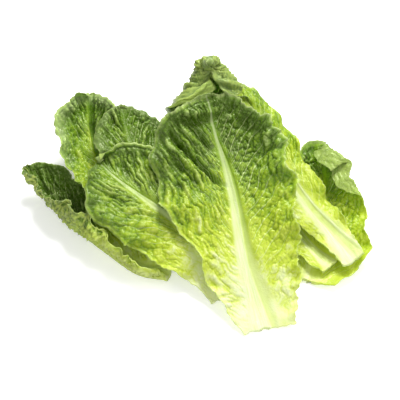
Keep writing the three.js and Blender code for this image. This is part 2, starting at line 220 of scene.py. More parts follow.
def sides_of(leaf, row):
    """The direction across the blade at each row, carried along the spine without twisting."""
    tangents = spine_of(leaf, station(np.arange(ROWS))[0])[1]
    side = np.cross(tangents[0], (0, 0, 1))
    carried = []
    for tangent in tangents:
        side = unit(side - side.dot(tangent) * tangent)
        carried.append(side)
    return through(carried, row / (ROWS - 1))


def smooth_blade(leaf, row, column_steps):
    """The middle of the blade's thickness as a grid, with its margin still flat."""
    t, share, turn = station(row)
    centre, tangent, length = spine_of(leaf, t)
    side = sides_of(leaf, row)
    side = unit(side - (side * tangent).sum(1, keepdims=True) * tangent)
    up = np.cross(side, tangent)
    steps = np.arange(SIDE_COLUMNS * column_steps + 1) / (SIDE_COLUMNS * column_steps)
    reach = steps ** COLUMN_POWER
    halves = {}
    for sign, (width, rise, curl) in ((-1, leaf["left"]), (1, leaf["right"])):
        scallop = 1 + SCALLOP * np.sin(2 * math.pi * t * length / SCALLOP_LENGTH + sign)
        width = through(width, t) * share * scallop
        middle = (reach[1:] + reach[:-1]) / 2
        angle = np.radians(through(rise, t)[:, None]
                           + through(curl, t)[:, None] * middle ** CURL_POWER)
        stride = np.diff(reach) * width[:, None]
        outward = np.pad(np.cumsum(sign * np.cos(angle) * stride, 1), ((0, 0), (1, 0)))
        upward = np.pad(np.cumsum(np.sin(angle) * stride, 1), ((0, 0), (1, 0)))
        at = (centre[:, None] + outward[..., None] * side[:, None]
              + upward[..., None] * up[:, None])
        halves[sign] = at, reach * width[:, None] * sign
    at, across = (np.concatenate([halves[-1][k][:, :0:-1], halves[1][k]], 1) for k in (0, 1))
    reach = np.concatenate([-reach[:0:-1], reach])
    whole = np.ones(at.shape[:2])
    return dict(at=at, across=across, t=t[:, None] * whole, along=t[:, None] * length * whole,
                reach=reach * whole, share=share[:, None] * whole, turn=turn[:, None] * whole,
                length=length)


def facing(at):
    """Unit normals of a grid, on the side from which its columns run to the right."""
    return unit(np.cross(np.gradient(at, axis=1), np.gradient(at, axis=0)))


def normals_of(at):
    """Unit normals of a blade. The tip is one point, so its row shares a mean normal."""
    normals = facing(at)
    normals[-1] = unit(normals[-2].sum(0))
    return normals


def wave_margin(leaf, blade):
    """Waves the margin up and down, more strongly the nearer it lies to the edge."""
    sign = np.sign(blade["reach"])
    turn = 2 * math.pi * blade["along"] / FRILL_LENGTH
    height, pace = SECOND_WAVE
    wave = (np.sin(turn + leaf["phase"] + SIDE_SHIFT * sign)
            + height * np.sin(pace * turn + 2.1 * leaf["phase"] + sign))
    strength = np.abs(blade["reach"]) ** FRILL_POWER * np.minimum(1, 3 * (blade["t"] + 0.02))
    blade["at"] = (blade["at"]
                   + normals_of(blade["at"]) * (leaf["frill"] * strength * wave)[..., None])


BLADE_THICKNESS = 1.2  # of the solids, mm
RIB_DEPTH = 7  # how far the midrib stands out below the blade at the cut base
RIB_HALF_WIDTH = 14
RIB_TAPER = 0.82  # share of that width lost by the tip
RIB_EDGE = 0.8  # mm added to it all along
RIB_THINNING = 1.2  # how fast the midrib's depth fades towards the tip
CHANNEL_DEPTH = 1.4  # of the channel above the midrib
RIB_FLAT = 0.85  # share of the rib's depth left where the leaf's own weight presses it flat


def rib_half_width(t):
    return RIB_HALF_WIDTH * (1 - RIB_TAPER * t) + RIB_EDGE


def midrib(blade):
    """How far the midrib stands out below the blade, and the depth of the channel above it."""
    half, fade = rib_half_width(blade["t"]), (1 - blade["t"]).clip(0) ** RIB_THINNING
    below = RIB_DEPTH * fade * np.exp(-(blade["across"] / half) ** 2)
    return below, CHANNEL_DEPTH * fade * np.exp(-(blade["across"] / (0.6 * half)) ** 2)


CELL = 4  # mm, of the height map that the leaves are laid on
MAP_CORNER = np.array([-280, -260])
MAP_CELLS = np.array([140, 130])
NOTHING_BELOW = -50
CLEARANCE = 0.7  # mm left between one solid leaf and the next
SMOOTH_PASSES = 56  # rounds in which a leaf bends as it comes to rest
FIRM_PASSES = 14
SMOOTHING = 0.55
STEEPEST = 0.55  # the least upright a face counts as, for its thickness up and down

heap_top = np.full(MAP_CELLS, float(NOTHING_BELOW))


def cells_of(points):
    return np.clip(((points[..., :2] - MAP_CORNER) / CELL).astype(int), 0, MAP_CELLS - 1)


def patch_samples(values, count):
    """Values at even places inside every patch of a grid, and what its four corners weigh."""
    part = (np.arange(count) + 0.5) / count
    a, b = (axis[..., None] for axis in np.meshgrid(part, part, indexing="ij"))
    weights = np.concatenate([(1 - a) * (1 - b), (1 - a) * b, a * (1 - b), a * b], -1)
    corners = np.stack([values[:-1, :-1], values[:-1, 1:], values[1:, :-1], values[1:, 1:]], 2)
    return np.einsum("abk,ijk...->ijab...", weights, corners), weights


def add_to_heap(face):
    points = patch_samples(face, 8)[0].reshape(-1, 3)
    i, j = cells_of(points).T
    np.maximum.at(heap_top, (i, j), points[:, 2])


def evened(lift):
    """Evens out a lift between neighbouring points, so that the leaf bends and doesn't kink."""
    wide = np.pad(lift, 1, mode="edge")
    around = wide[:-2, 1:-1] + wide[2:, 1:-1] + wide[1:-1, :-2] + wide[1:-1, 2:]
    return lift * (1 - SMOOTHING) + SMOOTHING * (4 * lift + around) / 8


def lay_down(leaf, blade):
    """The height by which each point of a leaf moves as it comes to rest on the heap."""
    at = blade["at"]
    upright = np.maximum(np.abs(normals_of(at)[..., 2]), STEEPEST)
    below = midrib(blade)[0]
    depth = patch_samples((BLADE_THICKNESS / 2 + below) / upright, 5)[0]
    pressed = patch_samples((BLADE_THICKNESS / 2 + RIB_FLAT * below) / upright, 5)[0]
    places, weights = patch_samples(at, 5)
    highest = np.full(MAP_CELLS + 2, float(NOTHING_BELOW))
    for i in range(3):
        for j in range(3):
            part = highest[i:i + MAP_CELLS[0], j:j + MAP_CELLS[1]]
            np.maximum(part, heap_top, out=part)
    i, j = np.moveaxis(cells_of(places), -1, 0)
    z = places[..., 2]
    room = np.minimum(z - depth - CLEARANCE - highest[i + 1, j + 1], z - pressed)
    drop = leaf["settle"] + room.min()
    lift = np.zeros(at.shape[:2])
    stiffness = (weights ** 2).sum(-1)
    for turn in range(SMOOTH_PASSES + FIRM_PASSES):
        if turn < SMOOTH_PASSES:
            lift = evened(lift)
        short = (drop - room - patch_samples(lift, 5)[0]) / stiffness
        push = np.zeros_like(lift)
        for k, (i, j) in enumerate(((0, 0), (0, 1), (1, 0), (1, 1))):
            part = push[i:i + ROWS - 1, j:j + COLUMNS - 1]
            np.maximum(part, (short * weights[..., k]).max((2, 3)), out=part)
        push[-1] = push[-1].max()
        lift += push
    lift[-1] = lift[-1].max()
    return lift - drop


def coarse_leaf(leaf):
    """The leaf as the solids have it: enters it in the heap, gives its rise and its bounds."""
    blade = smooth_blade(leaf, np.arange(ROWS), CURL_STEPS)
    for key in ("at", "across", "t", "along", "reach"):
        blade[key] = blade[key][:, ::CURL_STEPS]
    wave_margin(leaf, blade)
    rise = lay_down(leaf, blade)
    at = blade["at"] + rise[..., None] * (0, 0, 1)
    normals = normals_of(at)
    below, channel = midrib(blade)
    upper = at + normals * (BLADE_THICKNESS / 2 - channel)[..., None]
    lower = at - normals * (BLADE_THICKNESS / 2 + below)[..., None]
    lower[..., 2] = lower[..., 2].clip(0)
    add_to_heap(upper)
    add_to_heap(lower)
    corners = np.concatenate([upper.reshape(-1, 3), lower.reshape(-1, 3)])
    return rise, corners.min(0), corners.max(0)


coarse = {leaf["name"]: coarse_leaf(leaf) for leaf in LEAVES}
heap_low = np.min([low for _, low, _ in coarse.values()], 0)
heap_high = np.max([high for _, _, high in coarse.values()], 0)
HEAP_ORIGIN = np.array([*(heap_low + heap_high)[:2] / 2, heap_low[2]])


# ---- The blade's own relief ----

VEIN_SPACING = 15.0  # mm along the midrib from one side vein to the next
VEIN_FAN = 15  # mm more, by which a side vein runs along the rib before it leaves it
VEIN_FAN_REACH = 12
VEIN_WANDER = (5.0, 26)  # mm by which side veins bend, and the size of a bend
VEIN_CROWDING = (5.0, 24)  # mm by which they crowd together and part again, and over what
WARP = (2.6, 10)  # mm by which the pattern is pushed about, and the size of that
PLEAT_HEIGHT = 1.8  # between two side veins
# Creases, ridges, billows and domes: their height, and their size across the side veins and
# along them, where the blade is combed and where it is pebbled. All are in mm.
COMBED = (6.0, 7, 20)
FINE_COMBED = (2.2, 3.4, 14)
PEBBLED = (4.4, 8, 13)
VEIN_SQUEEZE = 1.6  # how much the combed pattern is drawn out across the veins
BASE_CROWDING = 1.8  # how much closer its creases lie at the base
COMB_PATCH = 38  # size of a patch that is combed, or pebbled
PEBBLE_TURN = math.radians(35)  # by which the pebbled pattern is turned from the rib
RIDGES = (1.6, 6, 10)
BILLOWS = (4.0, 17, 50)
BLISTERS = (1.6, 5, 7.5)
PIMPLES = (1.3, 4, 4)
SWELL = (3.2, 34)
NET_RIDGES = (0.4, 6.5, 9)  # height of the underside's raised net, and size of its cells
NET_SHARES = (0.16, 0.5)  # how plainly the finer net is drawn above, and below for a net of 1
PLEAT_PATCH = 24  # mm, size of a patch where the pleats are deep, or shallow
ROUGH_PATCH = 28  # and of one that is crinkled more, or less
CRINKLE_SPAN = 6.5  # height of the crinkles from the deepest crease to the highest crest
EDGE_WAVES = ((17, 3.6, 4), (8, 2.0, 8))  # size, height and nearness to the edge of each
TEETH = ((11, 1.8), (4.5, 1.1))  # size and depth of the margin's teeth
DROOP_START = 0.88  # nearness to the edge at which the margin begins to bend down
BASE_TEAR = (2.5, 9, 5)  # depth and size of the ragged break at the base, and how far it reaches
BLADE_EDGE_THICKNESS = 0.5
FINE_THICKNESS = 1.0
LEAST_THICKNESS = 0.3  # that the blade keeps where it is pressed on the surface
FINE_END = ROWS - 1.06  # the fine rows stop just short of the tip, where they would meet
RIB_WHITE = (11, 6.5, 5.2, 4.6, 4.0, 2.8, 1.4, 0.6)  # its half width, at even steps
RIB_STRIP = (9, 12, 10, 7, 5, 3, 0, 0)  # width of the smooth strip beside it, painted olive as shade in its groove
GROOVE_DEPTH = 1.6  # of that strip
RIM = (3, 0.93, 0.02)  # depth, place and width of the crease that sets a smooth rim off
RIB_PALE = (0.28, 0.2)  # how much less green the blade is beside the rib, left and right
PALE_REACH = (32, 12, 16)  # mm, how far that reaches: left, right, and more at the right base
CREASE_SHADE = 0.33  # painted shade: how much greener a crease is painted than the blade
CREST_HIGHLIGHTS = (-0.14, -0.17, -0.18, -0.15, -0.12)  # and a crest, from base to tip; below 0 it is painted paler, as painted highlight
CREST_SHEEN = 0.45  # share of painted sheen, pale, on the crests
RIM_SHEEN = 0.12  # and of that painted sheen on a smooth rim
FINE_CELL = 2  # mm, of the height map that the crinkled leaves rest on
FINE_CLEARANCE = 0.3
MOST_PUSHED = 6  # mm; where it would take more, the leaf below curls over this one
EVEN_PASSES = 4


def chance(i, j, seed):
    """Two numbers from 0 to 1 for each whole-numbered place, the same in every run."""
    mixed = (i * 374761393 + j * 668265263 + seed * 974711) & 0xFFFFFFFF
    mixed = ((mixed ^ (mixed >> 13)) * 1274126177) & 0xFFFFFFFF
    mixed = mixed ^ (mixed >> 16)
    return (mixed & 0xFFFF) / 0xFFFF, ((mixed >> 15) & 0xFFFF) / 0xFFFF


def noise(x, y, seed):
    """Smooth gradient noise of unit size, from about -1 to 1."""
    i, j = np.floor(x).astype(np.int64), np.floor(y).astype(np.int64)
    f, g = x - i, y - j

    def corner(di, dj):
        turn = 2 * math.pi * chance(i + di, j + dj, seed)[0]
        return np.cos(turn) * (f - di) + np.sin(turn) * (g - dj)

    ease_x, ease_y = (v ** 3 * (v * (6 * v - 15) + 10) for v in (f, g))
    near = corner(0, 0) * (1 - ease_x) + corner(1, 0) * ease_x
    far = corner(0, 1) * (1 - ease_x) + corner(1, 1) * ease_x
    return 1.5 * (near * (1 - ease_y) + far * ease_y)


def domes(x, y, seed):
    """Rounded domes of about unit size that meet in creases: 0 in a crease, 1 on top."""
    i, j = np.floor(x).astype(np.int64), np.floor(y).astype(np.int64)
    nearest = np.full(x.shape, 9.0)
    second = nearest.copy()
    for di in (-1, 0, 1):
        for dj in (-1, 0, 1):
            right, up = chance(i + di, j + dj, seed)
            distance = np.hypot(i + di + 0.15 + 0.7 * right - x, j + dj + 0.15 + 0.7 * up - y)
            second = np.minimum(second, np.maximum(distance, nearest))
            nearest = np.minimum(nearest, distance)
    return 1 - (1 - ((second - nearest) / 0.75).clip(0, 1)) ** 2


def ease(value, start, end):
    share = ((value - start) / (end - start)).clip(0, 1)
    return share * share * (3 - 2 * share)


def by_side(sign, pair):
    """The left or the right value of a pair, for each point of a grid."""
    return np.where(sign > 0, pair[1], pair[0])


def raised_domes(across, along, size, seed):
    """Domes of a height and size in mm, about the blade's level."""
    height, wide, long = size
    return height * (domes(across / wide, along / long, seed) - 0.6)


def creases(across, along, size, seed):
    """Sharp creases between soft crests, of a height and size in mm."""
    height, wide, long = size
    folded = (noise(across / wide, along / long, seed)
              + 0.7 * noise(0.6 * across / wide + 30, 0.6 * along / long, seed + 7))
    return height * (np.abs(folded) ** 0.5 - 0.6)


def fold_at(across, along, start, end, height, width):
    """A crest, or a crease where height is below 0, along a line between two places."""
    start, end = np.array(start, float), np.array(end, float)
    way = end - start
    share = ((across - start[0]) * way[0] + (along - start[1]) * way[1]) / way.dot(way)
    nearest = share.clip(0, 1)
    off = np.hypot(across - start[0] - nearest * way[0], along - start[1] - nearest * way[1])
    return height * np.exp(-(off / width) ** 2) * np.sin(math.pi * (0.15 + 0.7 * nearest))


fine_top = np.full(MAP_CELLS * CELL // FINE_CELL, float(NOTHING_BELOW))


def fine_cells(points):
    cells = ((points[..., :2] - MAP_CORNER) / FINE_CELL).astype(int)
    return np.moveaxis(np.clip(cells, 0, np.array(fine_top.shape) - 1), -1, 0)


def fine_leaf(leaf, number):
    """The leaf as closed shells: each two faces as fine grids, and what the material reads."""
    row_steps, column_steps = leaf["steps"]
    row = np.linspace(0, FINE_END, (ROWS - 1) * row_steps + 1)
    column = np.linspace(0, 1, (COLUMNS - 1) * column_steps + 1)
    blade = smooth_blade(leaf, row, column_steps)
    wave_margin(leaf, blade)
    rise = through(through(coarse[leaf["name"]][0], row / (ROWS - 1)).T, column).T
    at = blade["at"] + rise[..., None] * (0, 0, 1)
    t = blade["t"]

    # Nearness to the edge, from 0 on the rib to 1 on the margin, and the run along the margin.
    aside = np.abs(blade["reach"]) * blade["share"]
    ahead = np.sin(blade["turn"])
    nearness = np.hypot(aside, ahead)
    tip_radius = (1 - TIP_START) * blade["length"]
    edge_run = (np.minimum(blade["along"], TIP_START * blade["length"])
                + np.arctan2(ahead, aside + 1e-6) * tip_radius)
    sign = np.sign(blade["reach"])
    lane = sign * 40.5 + number * 7.3  # keeps the noise of each side of each leaf apart
    normals = normals_of(at)
    across_way = unit(np.gradient(at, axis=1))
    along_way = unit(np.cross(normals, across_way))
    outward = unit(across_way * (sign * aside)[..., None] + along_way * ahead[..., None])

    # The margin: waves finer than the solid's own, and teeth. The base is broken off raggedly.
    # The last number that a noise is given is its seed.
    lift = np.zeros(row.shape + column.shape)
    waves = by_side(sign, leaf["waves"])
    for k, (size, height, power) in enumerate(EDGE_WAVES):
        lift += waves * height * nearness ** power * noise(edge_run / size, lane, 11 + k)
    reachout = np.zeros_like(lift)
    for k, (size, depth) in enumerate(TEETH):
        reachout += waves * depth * nearness ** 10 * noise(edge_run / size, lane, 21 + k)
    rolled = ((nearness - DROOP_START) / (1 - DROOP_START)).clip(0) * ease(t, 0.4, 0.75)
    lift -= leaf["droop"] * rolled ** 2
    reachout += 0.3 * leaf["droop"] * rolled
    depth, size, reach = BASE_TEAR
    base_tear = depth * np.exp(-blade["along"] / reach) * noise(blade["across"] / size, lane, 31)

    # Side veins, left and right by turns: their run is a whole number on each vein.
    across = blade["across"] - through(leaf["rib_bend"], t)
    sign = np.sign(across)
    x, y = np.abs(across), blade["along"]

    def patchy(size, seed, shift=0):
        return noise(across / size + shift, y / size, seed + number)

    tip_slope = by_side(sign, leaf["veins"])
    base_slope = by_side(sign, leaf["base_veins"])
    slope = base_slope + (tip_slope - base_slope) * ease(t, 0.1, 0.8)
    bend, size = VEIN_WANDER
    wander = bend * patchy(size, 41)
    bend, size = VEIN_CROWDING
    wander += bend * noise(y / size, lane, 45 + number)
    fan = VEIN_FAN * (1 - np.exp(-x / VEIN_FAN_REACH))
    vein_y = y + wander - slope * x - fan
    vein_run = vein_y / VEIN_SPACING + sign * 0.25
    vein_x = x * np.hypot(1, slope)

    # The rib, the smooth strip to its right and the trough along it. The blade is smooth
    # beside the rib, and calmer towards the margin.
    core = leaf["core"] * through(RIB_WHITE, t)
    strip = leaf["groove"] * through(RIB_STRIP, t).clip(0)
    groove = ((sign > 0) * ease(x, core - 1, core + 2)
              * (1 - ease(x, core + 0.5 * strip, core + 1.3 * strip)))
    trough = leaf["trough"] * (1 - ease(np.abs(x - 0.15 * core * sign), 0.3 * core,
                                        0.65 * core))
    smooth_to = core + (sign > 0) * (0.8 * strip + 12 * (1 - t / 0.2).clip(0))
    clear = ease(x, smooth_to, smooth_to + 7)
    calm = clear * (1 - 0.55 * ease(nearness, 0.88, 0.95)) * ease(y, -20, 40)

    # Combed creases along the side veins, pebbled ones between, blisters and pimples on both.
    push, size = WARP
    push_x, push_y = (push * patchy(size, 101, 50 * k) for k in (0, 1))
    at_base = 1 - ease(t, 0.25, 0.5)
    over_vein = vein_y / VEIN_SQUEEZE + push_y * (1 - 0.5 * at_base)
    along_vein = vein_x + push_x + 90 * sign
    turned_x = math.cos(PEBBLE_TURN) * x - math.sin(PEBBLE_TURN) * y + push_x + 200 * sign
    turned_y = math.sin(PEBBLE_TURN) * x + math.cos(PEBBLE_TURN) * y + push_y
    lean = by_side(sign, leaf["combed"])
    comb = ease(patchy(COMB_PATCH, 55) + lean, -0.3, 0.3)
    base_comb = by_side(sign, leaf["base_combed"])
    comb = comb * (base_comb + (1 - base_comb) * ease(t, 0.35, 0.6))
    pleat = np.abs(np.sin(math.pi * (vein_run + push_y / 2 / VEIN_SPACING))) ** 0.7
    depth = ease(patchy(PLEAT_PATCH, 51), -0.55, 0.6)
    combed = (PLEAT_HEIGHT * (0.1 + 0.9 * depth) * (pleat - 0.6)
              + creases(over_vein, along_vein, COMBED, 81 + number) * (1 - at_base)
              + creases(BASE_CROWDING * over_vein, along_vein, COMBED, 87 + number) * at_base
              + creases(over_vein, along_vein, FINE_COMBED, 89 + number) * (1 - 0.3 * at_base)
              + raised_domes(over_vein, along_vein, RIDGES, 61 + number) * (1 - 0.7 * at_base))
    pebbled = (creases(turned_x, turned_y, PEBBLED, 83 + number)
               + raised_domes(turned_x, turned_y, BLISTERS, 63 + number))
    crinkle = (pebbled + (combed - pebbled) * comb
               + raised_domes(turned_x, turned_y, PIMPLES, 91 + number))
    height, wide, long = BILLOWS
    billow = height * noise(over_vein / wide, along_vein / long, 85 + number)
    height, size = SWELL
    swell = height * patchy(size, 71)
    rough = ease(patchy(ROUGH_PATCH, 57, 20), -0.5, 0.5)
    outer = ease(nearness, 0.15, 0.7)
    outer = outer + (1 - outer) * ease(t, 0.25, 0.6)
    strength = calm * through(leaf["crinkle"], t) * (0.7 + 0.3 * rough) * (0.45 + 0.55 * outer)
    relief = (strength * (crinkle + billow * ease(t, 0.1, 0.5))
              + clear * (0.4 + 0.6 * ease(t, 0, 0.4)) * swell
              - GROOVE_DEPTH * (groove + trough))
    folded = sum(fold_at(blade["across"], y, *fold) for fold in leaf["folds"])
    rim = by_side(sign, leaf["rim"]) * ease(t, 0.25, 0.45)
    depth, place, wide = RIM
    folded = folded - depth * rim * np.exp(-((nearness - place) / wide) ** 2)
    lift += relief + folded

    at = (at + normals * lift[..., None] + outward * reachout[..., None]
          - along_way * base_tear[..., None])
    below, channel = midrib(blade)
    thickness = FINE_THICKNESS + (BLADE_EDGE_THICKNESS - FINE_THICKNESS) * nearness ** 6
    normals = normals_of(at)
    height, wide, long = NET_RIDGES
    ridge = 1 - ease(domes(turned_x / wide, turned_y / long, 93 + number), 0.15, 0.75)
    upper = at + normals * (thickness / 2 - channel)[..., None]
    lower = at - normals * (thickness / 2 + below + height * leaf["net"] * ridge)[..., None]
    lower[..., 2] = np.maximum(lower[..., 2], HEAP_ORIGIN[2])
    upper[..., 2] = np.maximum(upper[..., 2], HEAP_ORIGIN[2] + LEAST_THICKNESS)

    # Where the crinkles of the leaves below would come through, this leaf gives way.
    i, j = fine_cells(lower)
    short = fine_top[i, j] + FINE_CLEARANCE - np.minimum(lower, upper)[..., 2]
    pushed = np.where(short < MOST_PUSHED, short.clip(0), 0)
    for _ in range(EVEN_PASSES):
        pushed = np.maximum(pushed, evened(evened(pushed)))
    upper[..., 2] += pushed
    lower[..., 2] += pushed
    for face in (upper, lower):
        i, j = fine_cells(face)
        np.maximum.at(fine_top, (i, j), face[..., 2])

    # Greenness: less beside the rib and at the very margin. Painted light makes a rim and the
    # crests paler, and painted shade makes the creases greener.
    left, right, more = PALE_REACH
    pale_reach = np.where(sign > 0, right + more * (1 - ease(t, 0.15, 0.45)), left)
    paler = by_side(sign, RIB_PALE) * (1 - t).clip(0) ** 0.4
    rim = rim * ease(nearness, place, 0.96)
    tone = (through(leaf["tone"], ease(t, 0, 1))
            - paler * np.exp(-(x - core).clip(0) / pale_reach)
            - 0.1 * ease(nearness, 0.94, 0.97) * ease(t, 0.3, 0.6) - 0.08 * rim)
    clarity = calm * (0.65 + 0.35 * ease(t, 0.1, 0.5))
    crest = (0.47 + clarity * crinkle / CRINKLE_SPAN + folded / 16).clip(0, 1)
    shade = CREASE_SHADE + (through(CREST_HIGHLIGHTS, t) - CREASE_SHADE) * crest
    # The underside shows the same creases the other way up, behind its net of veins. Painted
    # shade darkens its pockets, and painted light pales its ridges.
    tone_below = (tone - 0.3 * shade + 0.35 * leaf["net"] * ease(crest, 0.32, 0.62)
                  + 0.4 * leaf["net"] ** 2 * (1 - ridge) * (0.4 + 0.6 * ease(t, 0.1, 0.6)))
    raised = np.maximum(0.5 * (1 - ease(crest, 0.2, 0.45)), 0.9 * leaf["net"] * ridge)
    rib = 1 - ease(x, 0.75 * core, 1.2 * core + 0.5 + 0.5 * core * (sign < 0))
    rib = (rib - trough).clip(0) * through(leaf["rib"], t)
    # Painted sheen: pale, where the far margins, a rim and the crests would catch the light.
    margin_sheen = RIM_SHEEN * rim + leaf["margin_sheen"] * ease(nearness, 0.6, 1) * ease(t, 0.45, 0.75)
    painted_sheen = margin_sheen + CREST_SHEEN * ease(crest, 0.6, 1) * ease(t, 0.3, 0.6)
    none, whole = np.zeros_like(x), np.ones_like(x)
    fields = dict(  # each for the upper face and for the lower
        tone=(tone + shade, tone_below), rib=(rib, rib),
        groove=(groove + 0.6 * trough,) * 2,
        net_share=(NET_SHARES[0] * whole, NET_SHARES[1] * leaf["net"] * whole),
        under=(none, leaf["dull"] * whole),
        raised=(none, raised), painted_sheen=(painted_sheen, margin_sheen), margin=(nearness, nearness),
        vein_run=(vein_run, vein_run),
        vein_share=(clear * (1 - 0.5 * comb) * (0.75 - 0.6 * ease(nearness, 0.3, 0.95)),) * 2,
        small_share=(clear * 0.4 * (1 - ease(nearness, 0.05, 0.5)),) * 2,
        across=(blade["across"] * MM,) * 2, along=(y * MM,) * 2,
    )
    shells = [(upper, lower, fields)]
    if leaf["flap"]:
        last = -1 if leaf["flap"][0] > 0 else 0
        middle = (upper[:, last] + lower[:, last]) / 2
        shells.append(flap(leaf, middle, outward[:, last], edge_run[:, last]))
    return shells


FLAP_COLUMNS = 30
FLAP_ROLL = 3  # mm, the radius on which the margin rolls over
FLAP_END = 2  # mm, its width where it ends
FLAP_CREASES = (1.5, 6, 9)  # height and size of its creases
FLAP_WAVE = (2.5, 14)  # height and size of the waves of its free edge
FLAP_GREEN = (0.62, 0.1)  # its tone at the start, and more by its end
FLAP_DULL = 0.7


def flap(leaf, margin, outward, run):
    """A margin rolled in over the blade, so that it shows its underside."""
    side, start, end, width, slope = leaf["flap"]
    rows = np.flatnonzero((run > start) & (run < end))
    margin, outward, run = margin[rows, None], outward[rows, None], run[rows, None]
    u = (run - run[0]) / (run[-1] - run[0])
    even = through(margin[::len(rows) // 6, 0], u[:, 0])
    inward = side * unit(np.cross((0, 0, 1), unit(np.gradient(even, axis=0)))) - (0, 0, slope)
    reach = np.linspace(0, 1, FLAP_COLUMNS) * (FLAP_END + width * np.sin(math.pi * u) ** 0.8)
    rolled = FLAP_ROLL * (1 - np.exp(-reach / FLAP_ROLL))
    at = (margin + outward * rolled[..., None]
          + unit(inward)[:, None] * (reach - rolled)[..., None])
    crinkle = creases(reach, run, FLAP_CREASES, 95)
    height, size = FLAP_WAVE
    free = reach / (FLAP_END + width)
    wave = height * free ** 2 * noise(run / size, reach / 40, 97)
    at = at - side * facing(at) * ((crinkle + wave) * ease(reach, 0, 5))[..., None]
    half = facing(at) * BLADE_EDGE_THICKNESS / 2

    none, whole = np.zeros_like(reach), np.ones_like(reach)
    # Painted highlight makes the flap's crests paler, and a painted sheen on its underside grows
    # towards its end.
    crest = (0.5 + crinkle / 4).clip(0, 1)
    tone = FLAP_GREEN[0] - 0.14 * crest + FLAP_GREEN[1] * u
    fields = dict(
        tone=(tone, tone), rib=(none, none), groove=(none, none),
        net_share=(NET_SHARES[0] * whole, leaf["net"] * whole), under=(none, FLAP_DULL * whole),
        raised=(none, 0.6 * (1 - ease(crest, 0.2, 0.45))),
        painted_sheen=(none, (0.15 + 0.25 * u) * whole), margin=(0.9 + 0.1 * free,) * 2,
        vein_run=(none, none), vein_share=(none, none), small_share=(none, none),
        across=(reach * MM,) * 2, along=(run * MM * whole,) * 2,
    )
    return at + half, at - half, {key: pair[::side] for key, pair in fields.items()}


def shell_faces(rows, columns):
    """The faces of a closed shell between two grids, numbered one after the other."""
    number = np.arange(rows * columns).reshape(rows, columns)
    faces = [
        np.stack([number[:-1, :-1], number[:-1, 1:], number[1:, 1:], number[1:, :-1]], -1),
    ]
    faces.append(faces[0][..., ::-1] + number.size)

    def strip(line, back):
        a, b = (line, line + number.size) if not back else (line + number.size, line)
        return np.stack([a[:-1], a[1:], b[1:], b[:-1]], -1)

    faces += [strip(number[:, 0], False), strip(number[:, -1], True),
              strip(number[0], True), strip(number[-1], False)]
    return np.concatenate([f.reshape(-1, 4) for f in faces])


def leaf_mesh(name, shells):
    """One mesh of closed shells, with the fields as attributes of its points."""
    points, faces = [], []
    for upper, lower, _ in shells:
        faces.append(shell_faces(*upper.shape[:2]) + sum(len(part) for part in points))
        points += [upper.reshape(-1, 3), lower.reshape(-1, 3)]
    faces = np.concatenate(faces)
    points = (np.concatenate(points) - HEAP_ORIGIN) * MM
    mesh = bpy.data.meshes.new(name)
    mesh.vertices.add(len(points))
    mesh.vertices.foreach_set("co", points.astype(np.float32).ravel())
    mesh.loops.add(faces.size)
    mesh.loops.foreach_set("vertex_index", faces.astype(np.int32).ravel())
    mesh.polygons.add(len(faces))
    mesh.polygons.foreach_set("loop_start", np.arange(0, faces.size, 4, dtype=np.int32))
    mesh.update(calc_edges=True)
    mesh.shade_smooth()
    for key in shells[0][2]:
        values = np.concatenate([face.ravel() for shell in shells for face in shell[2][key]])
        values = values.astype(np.float32)
        mesh.attributes.new(key, "FLOAT", "POINT").data.foreach_set("value", values)
    mesh.validate()
    return mesh


# ---- The blade's material ----

def linear(colour):
    """An sRGB hex colour, turned linear, with its alpha."""
    channels = [int(colour[k:k + 2], 16) / 255 for k in (1, 3, 5)]
    return [c / 12.92 if c <= 0.04045 else ((c + 0.055) / 1.055) ** 2.4 for c in channels] + [1]


def add(tree, kind, inputs, out=0, **settings):
    """Adds a node with its settings, and gives its output. An input is a value or an output."""
    node = tree.nodes.new(kind)
    for key, value in settings.items():
        setattr(node, key, value)
    for key, value in inputs.items():
        if isinstance(value, bpy.types.NodeSocket):
            tree.links.new(value, node.inputs[key])
        else:
            node.inputs[key].default_value = value
    return node.outputs[out]


# How the blade reflects and how light comes through it, from cream at the base to dark green.
GREENS = ((0.0, "#EEF1D7"), (0.15, "#E7EDB3"), (0.35, "#CFDD50"), (0.55, "#B4C92C"),
          (0.76, "#8FAF24"), (0.93, "#658A16"), (1.0, "#52740E"))
GLOWS = ((0.0, "#F1F3C8"), (0.15, "#E8EE8C"), (0.35, "#D5E150"), (0.68, "#A4C41A"),
         (0.92, "#6A920A"), (1.0, "#507408"))
PATCH = 17  # mm, of the soft patches of tone and gloss
NET_CELL = 3.5  # mm; the real net is finer, and is drawn as coarse as it needs to show
NET_BEND = 6  # mm, of the bends in it
NET_LINE = 0.1  # half width of its lines, as a share of a cell
VEIN_LINE = 0.08  # half width of a side vein's line, as a share of the way to the next
SMALL_VEINS = 4  # small veins for each side vein
SMALL_LINE = 0.3  # half width of theirs
STREAK = 1.4  # mm across the fibres of the rib, which are drawn coarser than they are
GRAIN = 2.4  # mm, of the skin's finest relief
GRAIN_HEIGHT = 0.6  # mm, of that
WAX_ROUGHNESS = (0.15, 0.29)  # of the glossiest patches and of the dullest
THROUGH = 0.42  # share of the light that comes through the thin blade


